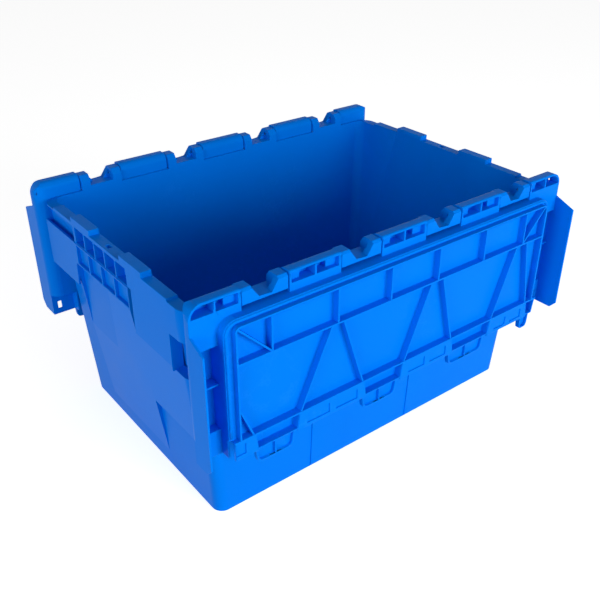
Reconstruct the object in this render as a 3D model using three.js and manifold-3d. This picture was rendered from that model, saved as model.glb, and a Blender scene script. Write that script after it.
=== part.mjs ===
// Attached-lid container: one tapered body and two half lids that swing on short steel pins
// along its long sides. Millimetres, +Z up, origin on the floor under the middle of the body.
// X runs along the length. The lids hang open outside the long walls.
import * as THREE from "three";
import { mergeVertices } from "three/addons/utils/BufferGeometryUtils.js";
import Module from "manifold-3d";

const wasm = await Module();
wasm.setup();

// ---- overall sizes ----
const lidLength = 600;          // over both ends of a lid
const hingeSpan = 398;          // from one hinge axis to the other
const hingeHeight = 324;        // hinge axis above the floor
const wall = 2.5;
const floorThickness = 3;
const endLean = 19;             // each end leans in by this much down to the floor
const sideLean = 13;            // and each long wall by this much

// ---- hinge ----
const pinDiameter = 4;
const pinClearance = 0.3;       // between pin and bore, all round
const pinReach = 16;            // into the barrel
const pinInset = 1;             // pin end behind the face of its knuckle
const barrelRadius = 10;
const barrelLength = 73;        // the three middle barrels
const endBarrelLength = 64;
const cavityWall = 3;           // barrel wall round its two cavities
const knuckleWidth = 13.5;
const knuckleGap = 1.2;         // sideways, between barrel and knuckle
const knuckleLip = 0.4;         // knuckle root stands this far proud of the wall
const knuckleInset = 0.5;       // knuckle face behind the line of the barrels
const wallGap = 1.5;            // between the barrels and the long wall
const knuckleRise = 8;          // knuckle top above the axis
const gussetWidth = 9;

// ---- lid section, u from the axis towards the middle, w up from the axis ----
const lidPlate = 3;
const edgeGap = 1.5;            // closed, between the recess and the inside of the long wall
const recessDepth = 24.5;       // border top down to the recessed panel
const recessCorner = 17;        // corner radius of the recess, in plan
const ribDepth = 10;            // under the panel
const ribWidth = 2.2;
const ribEase = 0.3;            // side ribs stand this much lower, slanted ribs twice as much
const bandWidth = 11;           // raised band round the panel, at the ends
const bandAlongHinge = 6;
const bandDepth = 3;
const frameCorner = 7;          // corner radius of the outer rib
const borderWidth = 33;         // end border, over the body rim
const endRound = 15;            // outer edge of the end border, rounded in section
const lidCorner = 17;           // corner at the hinge, rounded in plan
const cornerDepth = 47;         // axis to the end of the closed corner
const crossRibGap = 7;          // between the high rim and the rib across the end channel
const lowChannel = -5;          // underside of the end channel near the middle
const midRibAt = 68;            // long rib across the panel
const stepWidth = 26.5;         // lower flange, from the step to the lid's edge
const lowChannelWidth = 35.5;   // low part of the end border
const lidGap = 1.5;             // each lid stops this far from the middle
const toothReach = 23;          // teeth pass the middle by this much
const toothDepth = 7;           // depth of a tooth past the middle
const toothTaper = 7;           // each flank leans in by this much
const toothCorner = 7;
const skirtPlate = 2.5;
const skirtDrop = 34;           // left skirt, below the axis
const skirtDropWide = 40.5;     // right skirt

// ---- pattern of a lid, as shares of the recess's half length ----
const shortRibShares = [-0.783, -0.434, -0.124, 0.18, 0.498, 0.798];
const toothShares = [[-0.888, -0.637], [-0.273, -0.011], [0.318, 0.622], [0.903, 0.987]];
const flankRibShares = [[-0.951, -0.464], [-0.401, 0.142], [0.217, 0.76], [0.835, null]];

// ---- body rim and ends ----
const skirtClearance = 5.5;     // between a lid's skirt and the rim
const rimWidth = 14.5;

const wallClear = 2;            // closed, between the barrels and the top of the long wall
const rimLowDrop = 9;           // low stretches of the end rim, below the axis
const rimHighDrop = 2;
const rimCentre = 40;           // half width of the low middle with the seal hole
const rimStep = 94;             // outer end of the high stretch
const rimPlate = 5;
const bodyCorner = 16;
const rimCorner = 20;
const bandDrop = 53;            // lower edge of the rim band, below the axis
const apronDrop = 37;           // upper edge of the apron, below the axis
const apronHeight = 65;
const apronProud = 1;           // apron face outside the rim
const troughDepth = 6;          // behind the upper edge of the apron
const gripFrom = -57;           // grip zone along the end, left end
const gripTo = 89;
const gripHeight = 31;
const gripRib = 3;              // between the cells of the grip zone
const upperCells = 5;
const lowerCells = 4;
const upperCellDepth = 11;
const lowerCellDepth = 5;
const handRecessFrom = 3;       // hand recess under the grip zone, at its top
const handRecessSlant = 25;
const handRecessHeight = 103;
const handRecessDepth = 7;      // at its top, fading out below
const panelGroove = 5;          // slot round the apron of the other quadrant
const panelEndInset = 40.5;     // end of that apron, inside the corner of the body
const apronEndInset = 4.5;
const sealHole = 10;
const wallPanels = [[-115, -60], [60, 115]];
const wallPanelLift = 1.6;
const wallPanelDrop = 52;

const sliver = 0.06;            // edges shorter than this are closed up
const axisY = hingeSpan / 2;
const halfLid = lidLength / 2;

// ---- making and joining solids ----
function toSolid(geometry) {
  let plain = geometry.index ? geometry.toNonIndexed() : geometry;
  plain.deleteAttribute("normal");
  plain.deleteAttribute("uv");
  plain = mergeVertices(plain, 1e-4);
  const mesh = new wasm.Mesh({
    numProp: 3,
    vertProperties: new Float32Array(plain.attributes.position.array),
    triVerts: new Uint32Array(plain.index.array),
  });
  return new wasm.Manifold(mesh);
}

function toGeometry(solid) {
  const mesh = solid.simplify(sliver).getMesh();
  const geometry = new THREE.BufferGeometry();
  geometry.setAttribute("position", new THREE.BufferAttribute(new Float32Array(mesh.vertProperties), 3));
  geometry.setIndex(new THREE.BufferAttribute(new Uint32Array(mesh.triVerts), 1));
  geometry.computeVertexNormals();
  return geometry;
}

function box(x0, x1, y0, y1, z0, z1) {
  const geometry = new THREE.BoxGeometry(x1 - x0, y1 - y0, z1 - z0);
  geometry.translate((x0 + x1) / 2, (y0 + y1) / 2, (z0 + z1) / 2);
  return toSolid(geometry);
}

function joinAll(solids) {
  return solids.reduce((sum, next) => sum.add(next));
}

function cutAll(solid, cuts) {
  return cuts.reduce((rest, cut) => rest.subtract(cut), solid);
}

function outline(points) {
  return new THREE.Shape(points.map(([a, b]) => new THREE.Vector2(a, b)));
}

// Outline in (x, y), raised from z0 to z1.
function prismZ(shape, z0, z1, curveSegments = 6) {
  const geometry = new THREE.ExtrudeGeometry(shape, { depth: z1 - z0, bevelEnabled: false, curveSegments });
  geometry.translate(0, 0, z0);
  return toSolid(geometry);
}

// Outline in (y, z), carried along x.
function prismX(shape, x0, x1, curveSegments = 6) {
  const geometry = new THREE.ExtrudeGeometry(shape, { depth: x1 - x0, bevelEnabled: false, curveSegments });
  geometry.applyMatrix4(new THREE.Matrix4().set(0, 0, 1, x0, 1, 0, 0, 0, 0, 1, 0, 0, 0, 0, 0, 1));
  return toSolid(geometry);
}

// Outline in (x, z), carried along y.
function prismY(shape, y0, y1) {
  const geometry = new THREE.ExtrudeGeometry(shape, { depth: y1 - y0, bevelEnabled: false });
  geometry.applyMatrix4(new THREE.Matrix4().set(1, 0, 0, 0, 0, 0, -1, y1, 0, 1, 0, 0, 0, 0, 0, 1));
  return toSolid(geometry);
}

function roundedRectangle(halfX, halfY, radius) {
  const shape = new THREE.Shape();
  shape.moveTo(-halfX + radius, -halfY);
  shape.lineTo(halfX - radius, -halfY);
  shape.absarc(halfX - radius, -halfY + radius, radius, -Math.PI / 2, 0);
  shape.lineTo(halfX, halfY - radius);
  shape.absarc(halfX - radius, halfY - radius, radius, 0, Math.PI / 2);
  shape.lineTo(-halfX + radius, halfY);
  shape.absarc(-halfX + radius, halfY - radius, radius, Math.PI / 2, Math.PI);
  shape.lineTo(-halfX, -halfY + radius);
  shape.absarc(-halfX + radius, -halfY + radius, radius, Math.PI, Math.PI * 1.5);
  return shape;
}

// Rounded block that grows evenly from its floor outline to its top outline.
function taperedBlock(lowX, lowY, highX, highY, z0, z1, radius) {
  const shape = roundedRectangle(highX, highY, radius);
  const geometry = new THREE.ExtrudeGeometry(shape, { depth: z1 - z0, bevelEnabled: false, curveSegments: 6 });
  const place = geometry.attributes.position;
  for (let i = 0; i < place.count; i += 1) {
    const t = place.getZ(i) / (z1 - z0);
    place.setX(i, place.getX(i) * (lowX / highX + (1 - lowX / highX) * t));
    place.setY(i, place.getY(i) * (lowY / highY + (1 - lowY / highY) * t));
  }
  geometry.translate(0, 0, z0);
  return toSolid(geometry);
}

function cylinderX(radius, x0, x1, y, z) {
  const geometry = new THREE.CylinderGeometry(radius, radius, x1 - x0, 16);
  geometry.rotateZ(Math.PI / 2);
  geometry.translate((x0 + x1) / 2, y, z);
  return toSolid(geometry);
}

const boreRadius = pinDiameter / 2 + pinClearance;

// ---- barrels, from the left end of the front lid to the right ----
const openStretch = (lidLength - 3 * barrelLength - 2 * endBarrelLength) / 4;
const barrels = [];
for (let i = 0, x = -halfLid; i < 5; i += 1) {
  const length = i === 0 || i === 4 ? endBarrelLength : barrelLength;
  barrels.push([x, x + length]);
  x += length + openStretch;
}

// ---- lid, closed, x along the hinge, y = u, z = w, axis on the x axis ----
const borderTop = barrelRadius;
const borderUnder = borderTop - lidPlate;
const panelTop = borderTop - recessDepth;
const panelUnder = panelTop - lidPlate;
const ribUnder = panelUnder - ribDepth;
const edgeInset = barrelRadius + wallGap + wall + edgeGap;
const recessHalf = halfLid - borderWidth;
const frameHalf = recessHalf - bandWidth;
const frameStart = edgeInset + bandAlongHinge;
const flangeEnd = axisY - lidGap;
const stepAt = flangeEnd - stepWidth;
const lowFloor = flangeEnd - lowChannelWidth;
const toothEnd = axisY + toothReach;
const crossRibAt = axisY - rimStep - crossRibGap;
const roundBottom = borderTop - endRound;
const along = (share) => share * recessHalf;
const teeth = toothShares.map((pair) => pair.map(along));

function barrelSection() {
  const shape = new THREE.Shape();
  const soft = 3;
  shape.moveTo(edgeInset, -barrelRadius);
  shape.lineTo(edgeInset, borderTop);
  shape.lineTo(0, borderTop);
  shape.absarc(0, 0, barrelRadius, Math.PI / 2, Math.PI);
  shape.lineTo(-barrelRadius, -barrelRadius + soft);
  shape.absarc(-barrelRadius + soft, -barrelRadius + soft, soft, Math.PI, Math.PI * 1.5);
  return shape;
}

// Each barrel is hollow from below, in two cavities: shallow under the pins, deep between them.
function hingeBarrels() {
  const middleRib = 1.2;
  const pinFloor = -boreRadius - 1.1;
  const deepHalf = barrelRadius * 0.55;
  const under = -barrelRadius - 1;
  const clear = pinReach + 2;
  const parts = [];
  const cuts = [];
  barrels.forEach(([x0, x1], i) => {
    const middle = (x0 + x1) / 2;
    const pinAtStart = i > 0;
    const pinAtEnd = i < barrels.length - 1;
    parts.push(prismX(barrelSection(), x0, x1));
    const halves = [[x0 + cavityWall, middle - middleRib], [middle + middleRib, x1 - cavityWall]];
    for (const [from, to] of halves) {
      const deepFrom = Math.max(from, pinAtStart ? x0 + clear : from);
      const deepTo = Math.min(to, pinAtEnd ? x1 - clear : to);
      const cavity = box(from, to, -barrelRadius + cavityWall, deepHalf, under, pinFloor)
        .add(box(deepFrom, deepTo, -deepHalf, deepHalf, under, deepHalf));
      cuts.push(cutAll(cavity, cornerTools(lidCorner - cavityWall)));
    }
    if (pinAtStart) cuts.push(cylinderX(boreRadius, x0 - 1, x0 + pinReach + pinClearance, 0, 0));
    if (pinAtEnd) cuts.push(cylinderX(boreRadius, x1 - pinReach - pinClearance, x1 + 1, 0, 0));
  });
  return cutAll(joinAll(parts), cuts);
}

// Plan of the tray in (x, u): round corners near the hinge, open towards the middle.
function trayPlan(half, start, end, radius) {
  const shape = new THREE.Shape();
  shape.moveTo(-half, end);
  shape.lineTo(-half, start + radius);
  shape.absarc(-half + radius, start + radius, radius, Math.PI, Math.PI * 1.5);
  shape.lineTo(half - radius, start);
  shape.absarc(half - radius, start + radius, radius, -Math.PI / 2, 0);
  shape.lineTo(half, end);
  return shape;
}

// Upright wall round a tray.
function trayWall(half, start, end, radius, thickness, w0, w1) {
  const outside = prismZ(trayPlan(half, start, end, radius), w0, w1);
  const inside = trayPlan(half - thickness, start + thickness, end + 1, Math.max(radius - thickness, 1));
  return outside.subtract(prismZ(inside, w0 - 1, w1 + 1));
}

function panelAndRibs() {
  const shortRibs = shortRibShares.map(along);
  const first = shortRibs[0];
  const last = shortRibs[shortRibs.length - 1];
  const band = prismZ(trayPlan(recessHalf, edgeInset, stepAt, recessCorner), panelUnder - bandDepth, panelUnder)
    .subtract(prismZ(trayPlan(frameHalf, frameStart, stepAt + 1, frameCorner), ribUnder, panelUnder - 0.01));
  const parts = [
    trayWall(recessHalf, edgeInset, flangeEnd, recessCorner, skirtPlate, panelUnder, borderTop),
    prismZ(trayPlan(recessHalf, edgeInset, stepAt + skirtPlate, recessCorner), panelUnder, panelTop),
    band,
    trayWall(frameHalf, frameStart, stepAt, frameCorner, ribWidth, ribUnder, panelUnder),
    box(-frameHalf, frameHalf, midRibAt, midRibAt + ribWidth, ribUnder, panelUnder),
    slantRib(-frameHalf + frameCorner / 2, frameStart + frameCorner / 2, first, midRibAt + 1),
    slantRib(frameHalf - frameCorner / 2, frameStart + frameCorner / 2, last, midRibAt + 1),
  ];
  shortRibs.forEach((x) => {
    const [x0, x1] = [x - ribWidth / 2, x + ribWidth / 2];
    parts.push(box(x0, x1, frameStart + 1, midRibAt + 1, ribUnder + ribEase, panelUnder));
  });
  return joinAll(parts);
}

// Rib between two points of the panel.
function slantRib(x0, u0, x1, u1) {
  const under = ribUnder + 2 * ribEase;
  const length = Math.hypot(x1 - x0, u1 - u0);
  const nx = (-(u1 - u0) / length) * (ribWidth / 2);
  const nu = ((x1 - x0) / length) * (ribWidth / 2);
  const shape = outline([[x0 + nx, u0 + nu], [x1 + nx, u1 + nu], [x1 - nx, u1 - nu], [x0 - nx, u0 - nu]]);
  return prismZ(shape, under, panelUnder + 0.5);
}

// Slanted ribs fan out from the long rib to the flanks of the teeth.
function flankRibs() {
  const parts = [];
  teeth.forEach(([x0, x1], i) => {
    const [left, right] = flankRibShares[i];
    const start = i === 0 ? stepAt - 41 : midRibAt + 1;
    parts.push(slantRib(along(left), start, x0, stepAt + 1));
    if (right !== null) parts.push(slantRib(along(right), midRibAt + 1, x1, stepAt + 1));
  });
  return joinAll(parts);
}

function toothShape([x0, x1], inset, from, to) {
  const taper = Math.min(toothTaper, (x1 - x0) / 8);
  const lean = (taper * (to - stepAt)) / (toothEnd - stepAt);
  const start = (taper * (from - stepAt)) / (toothEnd - stepAt);
  const corner = Math.min(toothCorner, (x1 - x0) / 4);
  const [left, right, tip] = [x0 + lean + inset, x1 - lean - inset, to - inset];
  const shape = new THREE.Shape();
  shape.moveTo(x0 + start + inset, from);
  shape.lineTo(x1 - start - inset, from);
  shape.lineTo(right, tip - corner);
  shape.quadraticCurveTo(right, tip, right - corner, tip);
  shape.lineTo(left + corner, tip);
  shape.quadraticCurveTo(left, tip, left, tip - corner);
  return shape;
}

// Each tooth is a shallow tray, open below, split by one rib past the middle.
function lidTeeth() {
  const parts = [];
  const tipUnder = ribUnder + toothDepth - 1;
  teeth.forEach((tooth, i) => {
    const [x0, x1] = tooth;
    const middle = (x0 + x1) / 2;
    const innerU = flangeEnd - 2;
    const shell = prismZ(toothShape(tooth, 0, stepAt - 1, toothEnd), tipUnder, panelTop, 3);
    const hollow = prismZ(toothShape(tooth, ribWidth, stepAt - 2, toothEnd), tipUnder - 1, panelUnder, 3);
    parts.push(shell.subtract(hollow));
    parts.push(box(x0 + 4, x1 - 4, innerU - ribWidth, innerU, ribUnder + ribEase, panelUnder + 0.4));
    parts.push(slantRib(x0 + 1.5, stepAt + 0.7, x0 + 4.7, flangeEnd - 2.5));
    parts.push(slantRib(x1 - 1.5, stepAt + 0.7, x1 - 4.7, flangeEnd - 2.5));
    parts.push(box(x0 - 0.6, x1 + 0.6, stepAt - 0.3, stepAt + ribWidth, ribUnder - 0.01, panelUnder + 0.3));
    if (i < teeth.length - 1) {
      parts.push(box(middle - 1, middle + 1, innerU - 1, toothEnd - 1, tipUnder + ribEase, panelUnder + 0.4));
    }
  });
  return joinAll(parts);
}

// Between the teeth a lower flange runs under the teeth of the other lid. Each has shallow
// recesses in its underside.
function lowerFlanges() {
  const root = 1.7;
  const lean = 3.6;
  const recessRise = 1.4;
  const cutTop = ribUnder + recessRise;
  const corner = -recessHalf + 4;
  const cuts = [box(corner, corner + 14, stepAt + 6, flangeEnd - 6, ribUnder - 1, cutTop)];
  const spaces = [[-recessHalf + root + lean, teeth[0][0], 0]];
  for (let i = 1; i < teeth.length; i += 1) {
    const [x0, x1] = [teeth[i - 1][1], teeth[i][0]];
    const middle = (x0 + x1) / 2;
    spaces.push([x0, x1, lean]);
    cuts.push(box(x0 + 9, middle - 5, stepAt + 8, flangeEnd - 5, ribUnder - 1, cutTop));
    cuts.push(box(middle + 5, x1 - 9, stepAt + 8, flangeEnd - 5, ribUnder - 1, cutTop));
  }
  const parts = spaces.map(([x0, x1, leftLean]) => joinAll([
    box(x0 - root, x1 + root, stepAt, stepAt + skirtPlate, ribUnder, panelTop - 0.3),
    prismZ(outline([[x0 - root, stepAt + 0.4], [x1 + root, stepAt + 0.4],
      [x1 + root + lean, flangeEnd], [x0 - root - leftLean, flangeEnd]]),
      ribUnder, ribUnder + lidPlate),
  ]));
  return cutAll(joinAll(parts), cuts);
}

// Box on one end of a lid, with x counted outwards.
function endBox(side, from, to, u0, u1, w0, w1) {
  return box(Math.min(side * from, side * to), Math.max(side * from, side * to), u0, u1, w0, w1);
}

// Cylinder along u, centred on the rounded outer edge of an end.
function edgeCylinder(side, radius) {
  const geometry = new THREE.CylinderGeometry(radius, radius, hingeSpan, 32);
  geometry.translate(side * (halfLid - endRound), axisY / 2, roundBottom);
  return toSolid(geometry);
}

// What lies outside the rounded outer edge of an end, as far as the end border stands high.
function endEdgeTool(side) {
  return endBox(side, halfLid - endRound, halfLid + 5, -20, lowFloor + skirtPlate, roundBottom, borderTop + 5)
    .subtract(edgeCylinder(side, endRound));
}

// End border: a channel over the body rim, with the outer skirt and a closed corner at the hinge.
function endBorder(side) {
  const drop = side < 0 ? skirtDrop : skirtDropWide;
  const inner = recessHalf;
  const plateFrom = recessHalf - recessCorner;
  const highEnd = lowFloor + skirtPlate;
  const lowTop = lowChannel + lidPlate;
  const chamfer = 12;
  const skirt = prismX(outline([
    [edgeInset, roundBottom], [lowFloor + 0.5, roundBottom], [lowFloor + 0.5, lowTop], [flangeEnd, lowTop],
    [flangeEnd, -drop + 9], [flangeEnd - 10, -drop], [cornerDepth - 10, -drop],
    [cornerDepth - 10 - chamfer, -barrelRadius], [edgeInset, -barrelRadius],
  ]), ...(side < 0 ? [-halfLid, -halfLid + skirtPlate] : [halfLid - skirtPlate, halfLid]));
  const insideTray = prismZ(trayPlan(recessHalf - 1, edgeInset + 1, hingeSpan, recessCorner - 1), -30, 30);
  const plates = [
    endBox(side, plateFrom, halfLid, edgeInset - 1, cornerDepth, -barrelRadius, -barrelRadius + skirtPlate),
    endBox(side, plateFrom, halfLid - endRound + 0.5, edgeInset, lowFloor + 1, borderUnder, borderTop),
  ].map((plate) => plate.subtract(insideTray));
  const edge = endBox(side, halfLid - endRound, halfLid, edgeInset - 1, highEnd, roundBottom - 1, borderTop)
    .subtract(edgeCylinder(side, endRound - skirtPlate))
    .subtract(endBox(side, inner, halfLid - skirtPlate, 0, highEnd + 1, roundBottom - 2, roundBottom));
  const slotFrom = halfLid - 14;
  return joinAll([
    skirt, ...plates, edge,
    endBox(side, inner, halfLid - 1, lowFloor, highEnd, lowChannel, borderTop),
    endBox(side, inner, halfLid, lowFloor, flangeEnd, lowChannel, lowTop),
    endBox(side, inner, halfLid - 1, crossRibAt, crossRibAt + ribWidth, roundBottom - 2, borderTop - 1),
  ]).subtract(endBox(side, slotFrom, slotFrom + 6, flangeEnd - 20, flangeEnd - 8, lowChannel - 1, lowTop + 1));
}

// What lies outside the two corners at the hinge, which are rounded in plan.
function cornerTools(radius) {
  return [-1, 1].map((side) => {
    const edge = side * (halfLid - lidCorner);
    const square = endBox(side, halfLid - lidCorner, halfLid + 6,
      -barrelRadius - 5, -barrelRadius + lidCorner, -30, 30);
    const disc = new THREE.CylinderGeometry(radius, radius, 80, 32);
    disc.rotateX(Math.PI / 2);
    disc.translate(edge, -barrelRadius + lidCorner, 0);
    return square.subtract(toSolid(disc));
  });
}

function halfLidSolid() {
  const all = joinAll([panelAndRibs(), flankRibs(), lidTeeth(), lowerFlanges(),
    endBorder(-1), endBorder(1), hingeBarrels()]);
  return cutAll(all, [...cornerTools(lidCorner), endEdgeTool(-1), endEdgeTool(1)]);
}

// ---- body ----
const rimOuter = halfLid - skirtPlate - skirtClearance;
const rimInner = rimOuter - rimWidth;
const bodyHalfWidth = axisY - barrelRadius - wallGap;
const knuckleFace = axisY + barrelRadius - knuckleInset;
const baseHalf = rimInner + wall - endLean;
const baseHalfWidth = bodyHalfWidth - sideLean;
const wallTop = hingeHeight - barrelRadius - wallClear;
const rimLow = hingeHeight - rimLowDrop;
const rimHigh = hingeHeight - rimHighDrop;
const rimEnd = axisY - cornerDepth - 2;
const bandBottom = hingeHeight - bandDrop;
const apronTop = hingeHeight - apronDrop;
const apronBottom = apronTop - apronHeight;
const apronFace = rimOuter + apronProud;
const apronEnd = bodyHalfWidth - apronEndInset;
const panelEnd = bodyHalfWidth - panelEndInset;
const gripBottom = apronTop - gripHeight;
const gripCellLow = apronTop + 1;
const gripCellTop = rimLow - rimPlate;

function bodyShell() {
  return taperedBlock(baseHalf, baseHalfWidth, rimInner + wall, bodyHalfWidth, 0, wallTop, bodyCorner);
}

function bodyHollow() {
  const slopeX = endLean / wallTop;
  const slopeY = sideLean / wallTop;
  const over = 20;
  return taperedBlock(
    baseHalf - wall + slopeX * floorThickness, baseHalfWidth - wall + slopeY * floorThickness,
    rimInner + slopeX * over, bodyHalfWidth - wall + slopeY * over,
    floorThickness, wallTop + over, bodyCorner - 2);
}

// Knuckle section in (y, z), for the rear side; it stays inside the sweep of the lid edge.
function knuckleShape(height) {
  const inner = bodyHalfWidth - wall;
  const outer = bodyHalfWidth + knuckleLip;
  const face = knuckleFace;
  return outline([
    [inner, wallTop - 14], [outer, wallTop - 14], [outer, wallTop + 1],
    [face - 1.5, wallTop + 3], [face, wallTop + 5], [face, height - 3],
    [face - 3, height], [inner + 6, height], [inner, height - 8],
  ]);
}

function hingeKnuckles() {
  const lowTop = wallTop + 5;
  const inner = bodyHalfWidth - wall;
  const face = knuckleFace;
  const highTop = hingeHeight + knuckleRise;
  const parts = [];
  const bores = [];
  for (let i = 1; i < barrels.length; i += 1) {
    const from = barrels[i - 1][1];
    const to = barrels[i][0];
    const x0 = from + knuckleGap;
    const x1 = to - knuckleGap;
    parts.push(box(x0, x1, inner, face, wallTop + 1, lowTop));
    parts.push(box(x0, x1, inner, bodyHalfWidth + knuckleLip, wallTop - 14, lowTop));
    for (const [start, way] of [[x0, 1], [x1, -1]]) {
      const end = start + way * knuckleWidth;
      parts.push(prismX(knuckleShape(highTop), Math.min(start, end), Math.max(start, end)));
      parts.push(prismY(outline([[end - way / 2, lowTop - 1], [end + way * gussetWidth, lowTop - 1],
        [end + way * gussetWidth, lowTop], [end - way / 2, highTop - 2]]), axisY + 1, face));
    }
    bores.push(cylinderX(boreRadius, from - 1, to + 1, axisY, hingeHeight));
  }
  return cutAll(joinAll(parts), bores);
}

// Distance of the sloping end face from the middle of the body, at a height.
const footX = baseHalf - 1;
const footZ = 6;
const endFaceAt = (z) => footX + ((apronFace - footX) * (z - footZ)) / (gripBottom - footZ);

// Sloping end face, from the floor up to a height, between two places along the end.
function endWedge(top, y0, y1) {
  return prismY(outline([[-footX, footZ], [-endFaceAt(top), top], [-rimInner + 2, top]]), y0, y1);
}

// The same slope carried round the corner of the body, up to the apron of the other quadrant.
function cornerWedge() {
  const halfWidth = baseHalfWidth + (sideLean * apronBottom) / wallTop;
  return taperedBlock(baseHalf, baseHalfWidth, endFaceAt(apronBottom), halfWidth, 0, apronBottom, bodyCorner)
    .intersect(box(-halfLid, -rimInner + 2, -axisY, gripFrom + 1, 0, apronBottom));
}

// Left end of the body. The right end is the same, turned half round.
function leftEnd() {
  const inner = -rimInner;
  const face = -apronFace;
  const plate = -rimOuter + wall;
  const ring = prismZ(roundedRectangle(rimOuter, bodyHalfWidth, rimCorner), bandBottom, wallTop)
    .intersect(box(-rimOuter - 1, inner + 12, -axisY, axisY, bandBottom - 1, wallTop + 1));
  const troughFloor = apronTop - troughDepth;
  const trough = new THREE.Shape();
  trough.moveTo(face, apronBottom);
  trough.lineTo(face, apronTop);
  trough.lineTo(face + wall, apronTop);
  trough.lineTo(face + wall, troughFloor);
  trough.lineTo(inner, troughFloor);
  trough.lineTo(inner, troughFloor - wall);
  trough.lineTo(face + wall, troughFloor - wall);
  trough.lineTo(face + wall, apronBottom);
  return joinAll([
    ring,
    box(-rimOuter, inner, -rimEnd, rimEnd, rimLow - rimPlate, rimLow),
    box(-rimOuter, inner, gripFrom - wall, gripTo + wall, bandBottom, rimLow - 1),
    box(-rimOuter, plate, -rimEnd, gripFrom, bandBottom, rimLow - 1),
    box(-rimOuter, inner, -rimStep, rimStep, rimLow - 1, rimHigh),
    box(face, inner, gripFrom, gripTo, gripBottom, apronTop),
    endWedge(gripBottom, gripFrom, gripTo + 17),
    cornerWedge(),
    prismY(trough, gripTo - 2, apronEnd),
    box(face, inner, apronEnd - wall, apronEnd, apronBottom, apronTop),
    box(-rimOuter, plate, -panelEnd, gripFrom - panelGroove, apronBottom + panelGroove, rimLow - 1),
    box(-rimOuter, inner, -panelEnd - wall, -panelEnd, apronBottom - 1, bandBottom + 1),
  ]);
}

function leftEndCuts() {
  const cuts = [];
  const inner = -rimInner;
  const outside = -apronFace - 5;
  const length = gripTo - gripFrom;
  const upper = (length - gripRib * (upperCells + 1)) / upperCells;
  for (let i = 0; i < upperCells; i += 1) {
    const y0 = gripFrom + gripRib + i * (upper + gripRib);
    cuts.push(box(outside, -rimOuter + upperCellDepth, y0, y0 + upper, gripCellLow, gripCellTop));
  }
  const lower = (length - gripRib * (lowerCells + 1)) / lowerCells;
  for (let i = 0; i < lowerCells; i += 1) {
    const y0 = gripFrom + gripRib + i * (lower + gripRib);
    cuts.push(box(outside, -apronFace + lowerCellDepth, y0, y0 + lower, gripBottom + wall, apronTop - wall));
  }
  const troughFloor = apronTop - troughDepth;
  const recessBottom = gripBottom - handRecessHeight;
  const handRecess = prismY(outline([[outside, gripBottom], [-apronFace + handRecessDepth, gripBottom],
    [-endFaceAt(recessBottom), recessBottom], [outside, recessBottom]]), handRecessFrom - 1, gripTo + 20)
    .intersect(prismX(outline([[handRecessFrom, gripBottom + 1], [gripTo + 4, gripBottom + 1],
      [gripTo + 16, recessBottom - 1], [handRecessFrom + handRecessSlant, recessBottom - 1]]), outside - 1, 0));
  cuts.push(
    box(outside, inner - 6, gripTo + wall, apronEnd - wall, apronTop, rimLow - rimPlate),
    box(-apronFace + wall, inner - 6, gripTo + wall, apronEnd - wall, troughFloor, apronTop + 1),
    box(-rimOuter + wall, inner - 4, -panelEnd, gripFrom - wall, bandBottom - 1, rimLow - rimPlate),
    box(outside, inner - 4, gripFrom - panelGroove, gripFrom, apronBottom, apronTop),
    box(-rimOuter - 1, inner + 1, -rimCentre, rimCentre, rimLow, rimHigh + 1),
    box(inner - 10, inner - 5, -sealHole / 2, sealHole / 2, rimLow - 12, rimLow + 1),
    handRecess,
  );
  return cuts;
}

// Shallow raised panels up the long walls.
function longWallPanels() {
  const top = wallTop - wallPanelDrop;
  const topY = bodyHalfWidth - (sideLean * wallPanelDrop) / wallTop;
  const parts = wallPanels.map(([x0, x1]) => prismX(outline([
    [baseHalfWidth - 1, 2], [baseHalfWidth + wallPanelLift, 2], [topY + wallPanelLift, top], [topY - 1, top],
  ]), x0, x1));
  return joinAll(parts);
}

function halfTurn(solid) {
  return solid.rotate([0, 0, 180]);
}

function bodySolid() {
  const oneSide = joinAll([hingeKnuckles(), longWallPanels(), leftEnd()]);
  const full = joinAll([bodyShell(), oneSide, halfTurn(oneSide)]);
  const cuts = leftEndCuts();
  return cutAll(full, [bodyHollow(), ...cuts, ...cuts.map(halfTurn)]);
}

// ---- scene ----
const bluePlastic = { color: 0x0a6be0, roughness: 0.38, metalness: 0 };
const pinSteel = { color: 0xb4b8bd, roughness: 0.3, metalness: 1 };

function part(name, geometry, look) {
  const mesh = new THREE.Mesh(geometry, new THREE.MeshStandardMaterial(look));
  mesh.name = name;
  return mesh;
}

// Places of the pins' middles along the hinge, two for each open stretch between barrels.
function pinPlaces() {
  const places = [];
  for (let i = 1; i < barrels.length; i += 1) {
    const shift = (knuckleGap + knuckleWidth - pinInset - pinReach) / 2;
    places.push(barrels[i - 1][1] + shift, barrels[i][0] - shift);
  }
  return places;
}

const pinLength = pinReach + knuckleGap + knuckleWidth - pinInset;
const pinGeometry = new THREE.CylinderGeometry(pinDiameter / 2, pinDiameter / 2, pinLength, 16);
pinGeometry.rotateZ(Math.PI / 2);

const crate = new THREE.Group();
crate.add(part("container_body", toGeometry(bodySolid()), bluePlastic));

const lidGeometry = toGeometry(halfLidSolid());
for (const [name, turn] of [["front", 0], ["rear", Math.PI]]) {
  const side = new THREE.Group();
  side.rotation.z = turn;
  const hinge = new THREE.Group();
  hinge.position.set(0, -axisY, hingeHeight);
  const lid = part(`${name}_lid`, lidGeometry, bluePlastic);
  lid.rotation.x = -Math.PI / 2;
  hinge.add(lid);
  pinPlaces().forEach((x, i) => {
    const pin = part(`${name}_hinge_pin_${i + 1}`, pinGeometry, pinSteel);
    pin.position.x = x;
    hinge.add(pin);
  });
  side.add(hinge);
  crate.add(side);
}

export default crate;
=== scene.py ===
from math import cos, pi, radians, sin

import bmesh
import bpy
import numpy as np
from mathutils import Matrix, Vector
from mathutils.kdtree import KDTree


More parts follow.
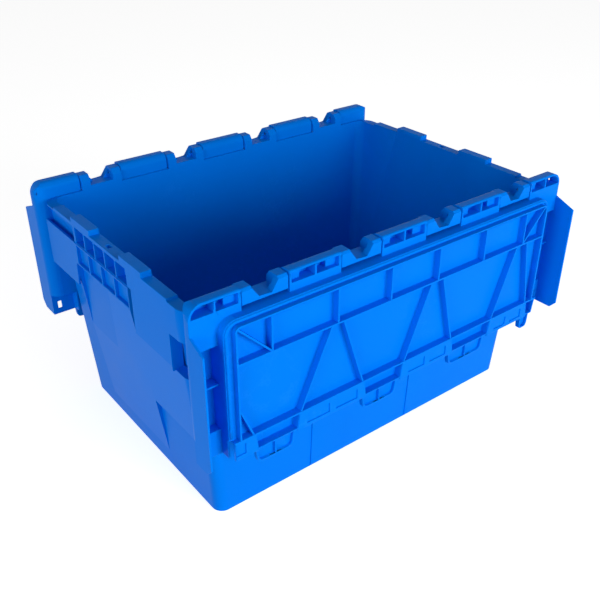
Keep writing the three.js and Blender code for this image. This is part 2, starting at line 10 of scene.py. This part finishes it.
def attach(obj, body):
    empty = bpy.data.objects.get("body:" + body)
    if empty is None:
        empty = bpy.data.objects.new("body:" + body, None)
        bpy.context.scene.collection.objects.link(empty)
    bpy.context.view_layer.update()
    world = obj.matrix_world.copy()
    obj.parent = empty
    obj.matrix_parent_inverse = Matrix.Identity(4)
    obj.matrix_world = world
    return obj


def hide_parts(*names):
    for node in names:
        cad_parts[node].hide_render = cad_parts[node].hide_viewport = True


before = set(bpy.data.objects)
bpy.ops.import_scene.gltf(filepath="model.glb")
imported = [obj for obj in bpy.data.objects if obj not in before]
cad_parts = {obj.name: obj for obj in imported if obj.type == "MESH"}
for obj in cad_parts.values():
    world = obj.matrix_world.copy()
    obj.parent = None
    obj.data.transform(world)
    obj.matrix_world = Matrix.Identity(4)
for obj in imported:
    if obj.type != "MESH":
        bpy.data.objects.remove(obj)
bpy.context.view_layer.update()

scene = bpy.context.scene


def newObject(name, mesh):
    piece = bpy.data.objects.new(name, mesh)
    scene.collection.objects.link(piece)
    return piece


# ---- camera ----
cameraSetup = {
    "azimuth": -37.704,      # degrees, 0 looks along +Y
    "elevation": 30.654,
    "distance": 1.144823,
    "target": (-0.010989, -0.017748, 0.150),
    "lens": 46.848,
}


def makeCamera():
    a, e = radians(cameraSetup["azimuth"]), radians(cameraSetup["elevation"])
    back = Vector((sin(a) * cos(e), -cos(a) * cos(e), sin(e)))
    data = bpy.data.cameras.new("camera")
    data.lens = cameraSetup["lens"]
    data.sensor_width = 36
    data.clip_start, data.clip_end = 0.02, 20
    camera = bpy.data.objects.new("camera", data)
    scene.collection.objects.link(camera)
    camera.location = Vector(cameraSetup["target"]) + back * cameraSetup["distance"]
    camera.rotation_mode = "QUATERNION"
    camera.rotation_quaternion = (-back).to_track_quat("-Z", "Y")
    scene.camera = camera


makeCamera()
print("camera ready")


# ---- surface groups ----
def startGroup(name, inputs, outputs):
    tree = bpy.data.node_groups.new(name, "ShaderNodeTree")
    for label, kind, value in inputs:
        socket = tree.interface.new_socket(label, in_out="INPUT", socket_type=kind)
        if value is not None:
            socket.default_value = value
    for label, kind in outputs:
        tree.interface.new_socket(label, in_out="OUTPUT", socket_type=kind)
    return tree, tree.nodes.new("NodeGroupInput"), tree.nodes.new("NodeGroupOutput")


def addNode(tree, kind, **settings):
    node = tree.nodes.new(kind)
    for name, value in settings.items():
        setattr(node, name, value)
    return node


# scale may be a number or a socket
def noiseFrom(tree, vector, scale, detail, roughness=0.5):
    noise = addNode(tree, "ShaderNodeTexNoise")
    tree.links.new(vector, noise.inputs["Vector"])
    if isinstance(scale, (int, float)):
        noise.inputs["Scale"].default_value = scale
    else:
        tree.links.new(scale, noise.inputs["Scale"])
    noise.inputs["Detail"].default_value = detail
    noise.inputs["Roughness"].default_value = roughness
    return noise.outputs["Fac"]


def calc(tree, operation, a, b=None, clamp=False):
    node = addNode(tree, "ShaderNodeMath", operation=operation, use_clamp=clamp)
    for socket, value in zip(node.inputs, (a, b)):
        if isinstance(value, (int, float)):
            socket.default_value = value
        elif value is not None:
            tree.links.new(value, socket)
    return node.outputs[0]


# a fine height, and a slow value that wanders over the piece
def makeGrainGroup():
    tree, given, result = startGroup("fine_surface", [
        ("Vector", "NodeSocketVector", None),
        ("Stretch", "NodeSocketVector", (1, 1, 1)),
        ("Grain Scale", "NodeSocketFloat", 900),
        ("Drift Scale", "NodeSocketFloat", 9),
    ], [("Height", "NodeSocketFloat"), ("Drift", "NodeSocketFloat")])
    stretch = addNode(tree, "ShaderNodeVectorMath", operation="MULTIPLY")
    tree.links.new(given.outputs["Vector"], stretch.inputs[0])
    tree.links.new(given.outputs["Stretch"], stretch.inputs[1])
    for scaleName, detail, resultName in (("Grain Scale", 3, "Height"), ("Drift Scale", 4, "Drift")):
        noise = noiseFrom(tree, stretch.outputs[0], given.outputs[scaleName], detail)
        tree.links.new(noise, result.inputs[resultName])
    return tree


grainGroup = makeGrainGroup()


grainDepth = 0.0002          # height of the fine surface where the bump is full


# a material with the fine surface already in its bump and roughness
def startMaterial(name, look):
    material = bpy.data.materials.new(name)
    material.use_nodes = True
    tree = material.node_tree
    shader = tree.nodes["Principled BSDF"]
    place = addNode(tree, "ShaderNodeTexCoord").outputs["Object"]
    grain = addNode(tree, "ShaderNodeGroup", node_tree=grainGroup)
    tree.links.new(place, grain.inputs["Vector"])
    grain.inputs["Stretch"].default_value = look["stretch"]
    grain.inputs["Grain Scale"].default_value = look["grain"]
    grain.inputs["Drift Scale"].default_value = look["drift"]
    bump = addNode(tree, "ShaderNodeBump")
    bump.inputs["Strength"].default_value = look["bump"]
    bump.inputs["Distance"].default_value = grainDepth
    tree.links.new(grain.outputs["Height"], bump.inputs["Height"])
    tree.links.new(bump.outputs["Normal"], shader.inputs["Normal"])
    spread = calc(tree, "MULTIPLY_ADD", grain.outputs["Drift"], look["roughSpread"])
    spread.node.inputs[2].default_value = look["roughness"] - look["roughSpread"] / 2
    tree.links.new(spread, shader.inputs["Roughness"])
    return material, tree, shader, place, grain


# a colour between two, each a socket or four numbers
def blend(tree, amount, first, second):
    mix = addNode(tree, "ShaderNodeMix", data_type="RGBA")
    tree.links.new(amount, mix.inputs["Factor"])
    for socket, value in zip(mix.inputs[6:8], (first, second)):
        if isinstance(value, tuple):
            socket.default_value = value
        else:
            tree.links.new(value, socket)
    return mix.outputs[2]


# ---- blue plastic ----
plasticLook = {
    "colour": (0.0, 0.190, 0.80, 1),
    "deep": (0.0, 0.172, 0.75, 1),
    "scuff": (0.010, 0.235, 0.90, 1),
    "scuffAmount": 0.3,
    "streakScale": 23,
    "streakThinness": 46,    # higher makes thinner streaks
    "patchScale": 7,
    "patchLevel": 0.54,      # noise above this is rubbed
    "patchEdge": 7,          # higher makes harder edges
    "tint": (0.05, 0.50, 1.0, 1),
    "index": 1.09,
    "roughness": 0.36,
    "roughSpread": 0.14,
    "stretch": (1, 1, 1),
    "grain": 700,
    "drift": 11,
    "bump": 0.10,
}


def bluePlastic():
    look = plasticLook
    material, tree, shader, place, grain = startMaterial("blue_plastic", look)
    base = blend(tree, grain.outputs["Drift"], look["deep"], look["colour"])
    # thin rubbed streaks where one noise is near its middle value, kept to the patches
    # where a slower noise is high
    streakNoise = noiseFrom(tree, place, look["streakScale"], 5, 0.62)
    offMiddle = calc(tree, "ABSOLUTE", calc(tree, "SUBTRACT", streakNoise, 0.5))
    fade = calc(tree, "MULTIPLY", offMiddle, look["streakThinness"])
    thin = calc(tree, "SUBTRACT", 1, fade, clamp=True)
    patchNoise = noiseFrom(tree, place, look["patchScale"], 2)
    overLevel = calc(tree, "SUBTRACT", patchNoise, look["patchLevel"])
    patches = calc(tree, "MULTIPLY", overLevel, look["patchEdge"], clamp=True)
    rubbed = calc(tree, "MULTIPLY", calc(tree, "MULTIPLY", thin, patches), look["scuffAmount"])
    tree.links.new(blend(tree, rubbed, base, look["scuff"]), shader.inputs["Base Color"])
    shader.inputs["IOR"].default_value = look["index"]
    shader.inputs["Specular Tint"].default_value = look["tint"]
    return material


# ---- pin steel ----
steelLook = {
    "colour": (0.60, 0.61, 0.63, 1),
    "dull": (0.42, 0.43, 0.45, 1),
    "roughness": 0.30,
    "roughSpread": 0.12,
    "stretch": (0.06, 1, 1),
    "grain": 2600,
    "drift": 300,
    "bump": 0.25,
}


def pinSteel():
    look = steelLook
    material, tree, shader, _, grain = startMaterial("pin_steel", look)
    colour = blend(tree, grain.outputs["Drift"], look["dull"], look["colour"])
    tree.links.new(colour, shader.inputs["Base Color"])
    shader.inputs["Metallic"].default_value = 1
    return material


plastic = bluePlastic()
steel = pinSteel()


# ---- mouldings: the CAD shape with its edges eased ----
edgeSetup = {
    "radius": 0.0007,
    "segments": 2,
    "sharp": 28,             # degrees between faces
    "shortest": 0.0022,      # edges shorter than this keep their corner
    "clear": 0.0017,         # so do edges nearer than this to another
    "facet": 0.006,          # faces narrower than this belong to a curve
    "bend": 2,               # degrees, the least between two facets of a curve
    "spotStep": 0.001,       # between the spots that stand for an edge
    "merge": 2e-6,
    "flat": 0.2,             # degrees, triangles this even become one face
}


# edges with no other sharp edge close by, apart from the ones they meet
def clearEdges(edges):
    spots, owners = [], []
    for edge in edges:
        a, b = (v.co for v in edge.verts)
        count = max(int((b - a).length / edgeSetup["spotStep"]), 1)
        for i in range(count + 1):
            spots.append(a.lerp(b, i / count))
            owners.append(edge)
    tree = KDTree(len(spots))
    for i, spot in enumerate(spots):
        tree.insert(spot, i)
    tree.balance()
    crowded = set()
    for spot, edge in zip(spots, owners):
        if edge in crowded:
            continue
        for _, i, _ in tree.find_range(spot, edgeSetup["clear"]):
            other = owners[i]
            if other is not edge and not set(other.verts) & set(edge.verts):
                crowded.add(edge)
                break
    return [edge for edge in edges if edge not in crowded]


def easedCopy(node, name):
    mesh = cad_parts[node].data.copy()
    mesh.materials.clear()
    shape = bmesh.new()
    shape.from_mesh(mesh)
    bmesh.ops.remove_doubles(shape, verts=shape.verts, dist=edgeSetup["merge"])
    bmesh.ops.dissolve_limit(shape, angle_limit=radians(edgeSetup["flat"]),
                             verts=shape.verts, edges=shape.edges)
    weight = shape.edges.layers.float.new("bevel_weight_edge")
    width = {}
    for face in shape.faces:
        width[face] = face.calc_area() / max(e.calc_length() for e in face.edges)
    sharpEdges = []
    for edge in shape.edges:
        angle = edge.calc_face_angle()
        if angle > radians(edgeSetup["sharp"]):
            sharpEdges.append(edge)
            edge.smooth = False
        elif angle > radians(edgeSetup["bend"]):
            if max(width[face] for face in edge.link_faces) <= edgeSetup["facet"]:
                for face in edge.link_faces:     # two narrow facets of one curve
                    face.smooth = True
    longEdges = []
    for edge in sharpEdges:
        if min(e.calc_length() for v in edge.verts for e in v.link_edges) > edgeSetup["shortest"]:
            longEdges.append(edge)
    eased = clearEdges(longEdges)
    for edge in eased:
        edge[weight] = 1
        edge.smooth = True
    bmesh.ops.triangulate(shape, faces=[face for face in shape.faces if len(face.verts) > 4])
    shape.to_mesh(mesh)
    print(name, len(shape.faces), "faces,", len(sharpEdges), "sharp edges,", len(eased), "eased")
    shape.free()
    piece = newObject(name, mesh)
    bevel = piece.modifiers.new("edges", "BEVEL")
    bevel.limit_method = "WEIGHT"
    bevel.width = edgeSetup["radius"]
    bevel.segments = edgeSetup["segments"]
    bevel.use_clamp_overlap = False
    bevel.miter_outer = "MITER_ARC"
    return piece


mouldings = {"container_body": "container", "front_lid": "front_lid", "rear_lid": "rear_lid"}
for node, body in mouldings.items():
    piece = easedCopy(node, node + "_moulding")
    piece.data.materials.append(plastic)
    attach(piece, body)
    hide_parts(node)

# ---- beads on the band round each lid's panel ----
bead = {
    "hinge": (0.199, 0.324),  # distance of the hinge from the middle, and its height
    "half": 0.267,            # half length of the recess
    "start": 0.0155,          # from the hinge to the recess
    "end": 0.168,             # from the hinge to the lower end of the bead
    "corner": 0.017,
    "inset": 0.0032,          # middle of the bead inside the edge of the recess
    "surface": -0.0205,       # face of the band, measured from the hinge
    "radius": 0.0021,
    "sides": 20,
    "arcSteps": 14,
    "legSteps": 9,
}


# the bead's line in the lid's plane, with the direction that points out of the tray
def beadLine():
    half = bead["half"] - bead["inset"]
    start = bead["start"] + bead["inset"]
    corner = bead["corner"] - bead["inset"]
    leg = np.linspace(bead["end"], start + corner, bead["legSteps"])[:-1]
    line = [((-half, u), (-1, 0)) for u in leg]
    for side in (-1, 1):
        arc = np.linspace(0, pi / 2, bead["arcSteps"])
        for t in arc if side < 0 else arc[::-1]:
            out = (side * cos(t), -sin(t))
            middle = (side * (half - corner), start + corner)
            line.append(((middle[0] + corner * out[0], middle[1] + corner * out[1]), out))
    leg = np.linspace(start + corner, bead["end"], bead["legSteps"])[1:]
    line += [((half, u), (1, 0)) for u in leg]
    return line


# a round section carried along the line, half of it sunk in the band:
# point = line + out * r * cos(t), depth = surface - r * sin(t)
def beadMesh(name, turn):
    line = beadLine()
    sides, rows = bead["sides"], len(line)
    t = np.linspace(0, 2 * pi, sides, endpoint=False)
    place = np.array([spot for spot, _ in line])
    out = np.array([way for _, way in line])
    x = place[:, :1] + out[:, :1] * bead["radius"] * np.cos(t)
    u = place[:, 1:] + out[:, 1:] * bead["radius"] * np.cos(t)
    w = np.tile(bead["surface"] - bead["radius"] * np.sin(t), (rows, 1))
    away, height = bead["hinge"]
    spots = np.stack([turn * x, turn * (w - away), height - u], axis=2).reshape(-1, 3)
    faces = []
    for i in range(rows - 1):
        for j in range(sides):
            k = (j + 1) % sides
            faces.append((i * sides + j, i * sides + k, (i + 1) * sides + k, (i + 1) * sides + j))
    faces += [tuple(range(sides))[::-1], tuple(range((rows - 1) * sides, rows * sides))]
    mesh = bpy.data.meshes.new(name)
    mesh.from_pydata(spots.tolist(), [], faces)
    shape = bmesh.new()
    shape.from_mesh(mesh)
    bmesh.ops.recalc_face_normals(shape, faces=shape.faces)
    for face in shape.faces:
        face.smooth = len(face.verts) == 4
    shape.to_mesh(mesh)
    shape.free()
    return mesh


for lid, turn in [("front_lid", 1), ("rear_lid", -1)]:
    piece = newObject(lid + "_bead", beadMesh(lid + "_bead", turn))
    piece.data.materials.append(plastic)
    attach(piece, lid)
print("beads ready")


# ---- hinge pins ----
for node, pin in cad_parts.items():
    if node not in mouldings:
        for materialSlot in pin.material_slots:
            materialSlot.material = steel
print("pins ready")


# ---- studio ----
studio = {
    "world": 0.27,
    "floor": 0.70,           # white added to the floor for the camera and reflections
    "floorHalf": 6,
    "paper": (0.86, 0.86, 0.86, 1),
    "aim": (0, 0, 0.15),
    "key": {"at": (0.5, -2.6, 0.62), "size": 1.7, "power": 60},
    "fill": {"at": (-2.6, -0.9, 0.70), "size": 1.7, "power": 32},
}


def areaLamp(name, setup):
    data = bpy.data.lights.new(name, "AREA")
    data.shape = "DISK"
    data.size = setup["size"]
    data.energy = setup["power"]
    lamp = bpy.data.objects.new(name, data)
    scene.collection.objects.link(lamp)
    lamp.location = setup["at"]
    aim = Vector(studio["aim"]) - lamp.location
    lamp.rotation_mode = "QUATERNION"
    lamp.rotation_quaternion = aim.to_track_quat("-Z", "Y")


# 1 for what the camera sees, also in a reflection or through glass
def directlySeen(tree):
    path = addNode(tree, "ShaderNodeLightPath")
    first = calc(tree, "MAXIMUM", path.outputs["Is Camera Ray"], path.outputs["Is Glossy Ray"])
    return calc(tree, "MAXIMUM", first, path.outputs["Is Transmission Ray"])


def makeWorld():
    world = bpy.data.worlds.new("studio")
    world.use_nodes = True
    tree = world.node_tree
    background = tree.nodes["Background"]
    background.inputs["Color"].default_value = (1, 1, 1, 1)
    strength = calc(tree, "MULTIPLY_ADD", directlySeen(tree), 1 - studio["world"])
    strength.node.inputs[2].default_value = studio["world"]
    tree.links.new(strength, background.inputs["Strength"])
    scene.world = world


def makeFloor():
    half = studio["floorHalf"]
    corners = [(-half, -half, 0), (half, -half, 0), (half, half, 0), (-half, half, 0)]
    mesh = bpy.data.meshes.new("floor")
    mesh.from_pydata(corners, [], [(0, 1, 2, 3)])
    floor = newObject("floor", mesh)
    material = bpy.data.materials.new("floor_paper")
    material.use_nodes = True
    tree = material.node_tree
    shader = tree.nodes["Principled BSDF"]
    shader.inputs["Base Color"].default_value = studio["paper"]
    shader.inputs["Roughness"].default_value = 0.8
    shader.inputs["Specular IOR Level"].default_value = 0
    shader.inputs["Emission Color"].default_value = (1, 1, 1, 1)
    glow = calc(tree, "MULTIPLY", directlySeen(tree), studio["floor"])
    tree.links.new(glow, shader.inputs["Emission Strength"])
    floor.data.materials.append(material)


makeWorld()
makeFloor()
for name in ("key", "fill"):
    areaLamp(name, studio[name])
scene.view_settings.view_transform = "Standard"
print("studio ready")
